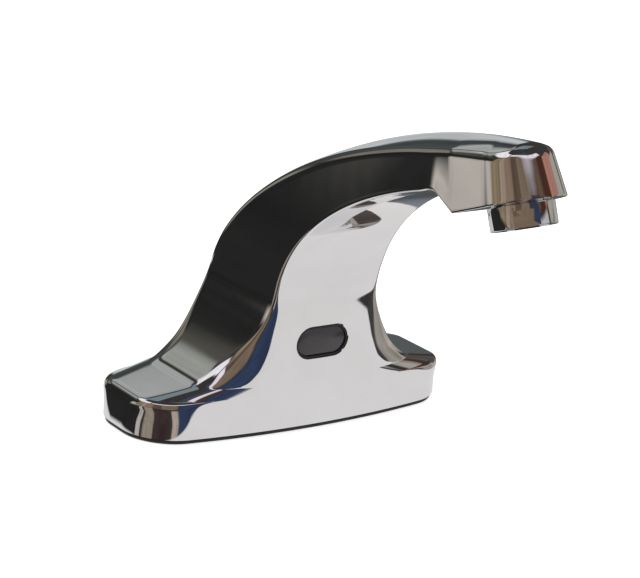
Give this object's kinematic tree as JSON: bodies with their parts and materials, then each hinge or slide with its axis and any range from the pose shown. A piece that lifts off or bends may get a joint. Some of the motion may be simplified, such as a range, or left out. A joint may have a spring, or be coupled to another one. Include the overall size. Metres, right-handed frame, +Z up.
{
  "type": "sensor tap",
  "caption": "Deck-mounted hands-free basin tap: low winged base, arched one-piece spout, sensor window low on the neck and a screw-in aerator.",
  "frame": {"origin": "centre of the base and of the water inlet's mouth, on the deck plane under the gasket", "axes": "+X along the base to the tap's left as it faces the user, -Y forward along the spout, +Z up from the deck"},
  "size_m": [0.1558, 0.1809, 0.151],
  "materials": {
    "chrome_plate": "polished chrome plate on cast brass",
    "black_rubber": "matte moulded rubber",
    "brass": "turned, unplated",
    "steel": "plain stainless steel",
    "copper": "drawn copper tube",
    "grey_plastic": "moulded acetal",
    "green_plastic": "moulded acetal",
    "black_plastic": "moulded ABS",
    "smoked_acrylic": "polished infrared-clear acrylic",
    "circuit_board": "solder-masked laminate",
    "clear_epoxy": "cast epoxy",
    "dark_epoxy": "cast epoxy"
  },
  "bodies": {
    "tap": {"spout_body": "chrome_plate", "base_gasket": "black_rubber", "base_plate": "brass", "base_plate_screws": "steel", "inlet_fitting": "brass", "tube_olive": "brass", "tube_nut": "brass", "waterway_tube": "copper", "outlet_spigot": "brass", "spigot_rings": "black_rubber", "sensor_seal": "black_plastic", "sensor_lens": "smoked_acrylic", "sensor_housing": "black_plastic", "sensor_cover": "black_plastic", "sensor_board": "circuit_board", "ir_emitter": "clear_epoxy", "ir_receiver": "dark_epoxy", "light_baffle": "black_plastic", "sensor_clip": "steel", "sensor_clip_screws": "steel", "cable_grommet": "black_rubber"},
    "aerator_seal": {"aerator_washer": "black_rubber"},
    "aerator": {"aerator_housing": "chrome_plate", "aerator_insert": "grey_plastic", "flow_regulator": "green_plastic", "aerator_screen": "steel"}
  },
  "joints": [
    {"name": "aerator_travel", "type": "slide", "parent": "tap", "child": "aerator_seal", "axis": [0, -0.3875, -0.9219], "range_m": [0, 0.00706]},
    {"name": "aerator_turn", "type": "hinge", "parent": "aerator_seal", "child": "aerator", "pos_m": [0, -0.1378, 0.12772], "axis": [0, -0.3875, -0.9219], "range_deg": [0, 2700]}
  ],
  "couplings": [
    {"joint": "aerator_travel", "follows": "aerator_turn", "m_per_rad": 0.00014961}
  ]
}
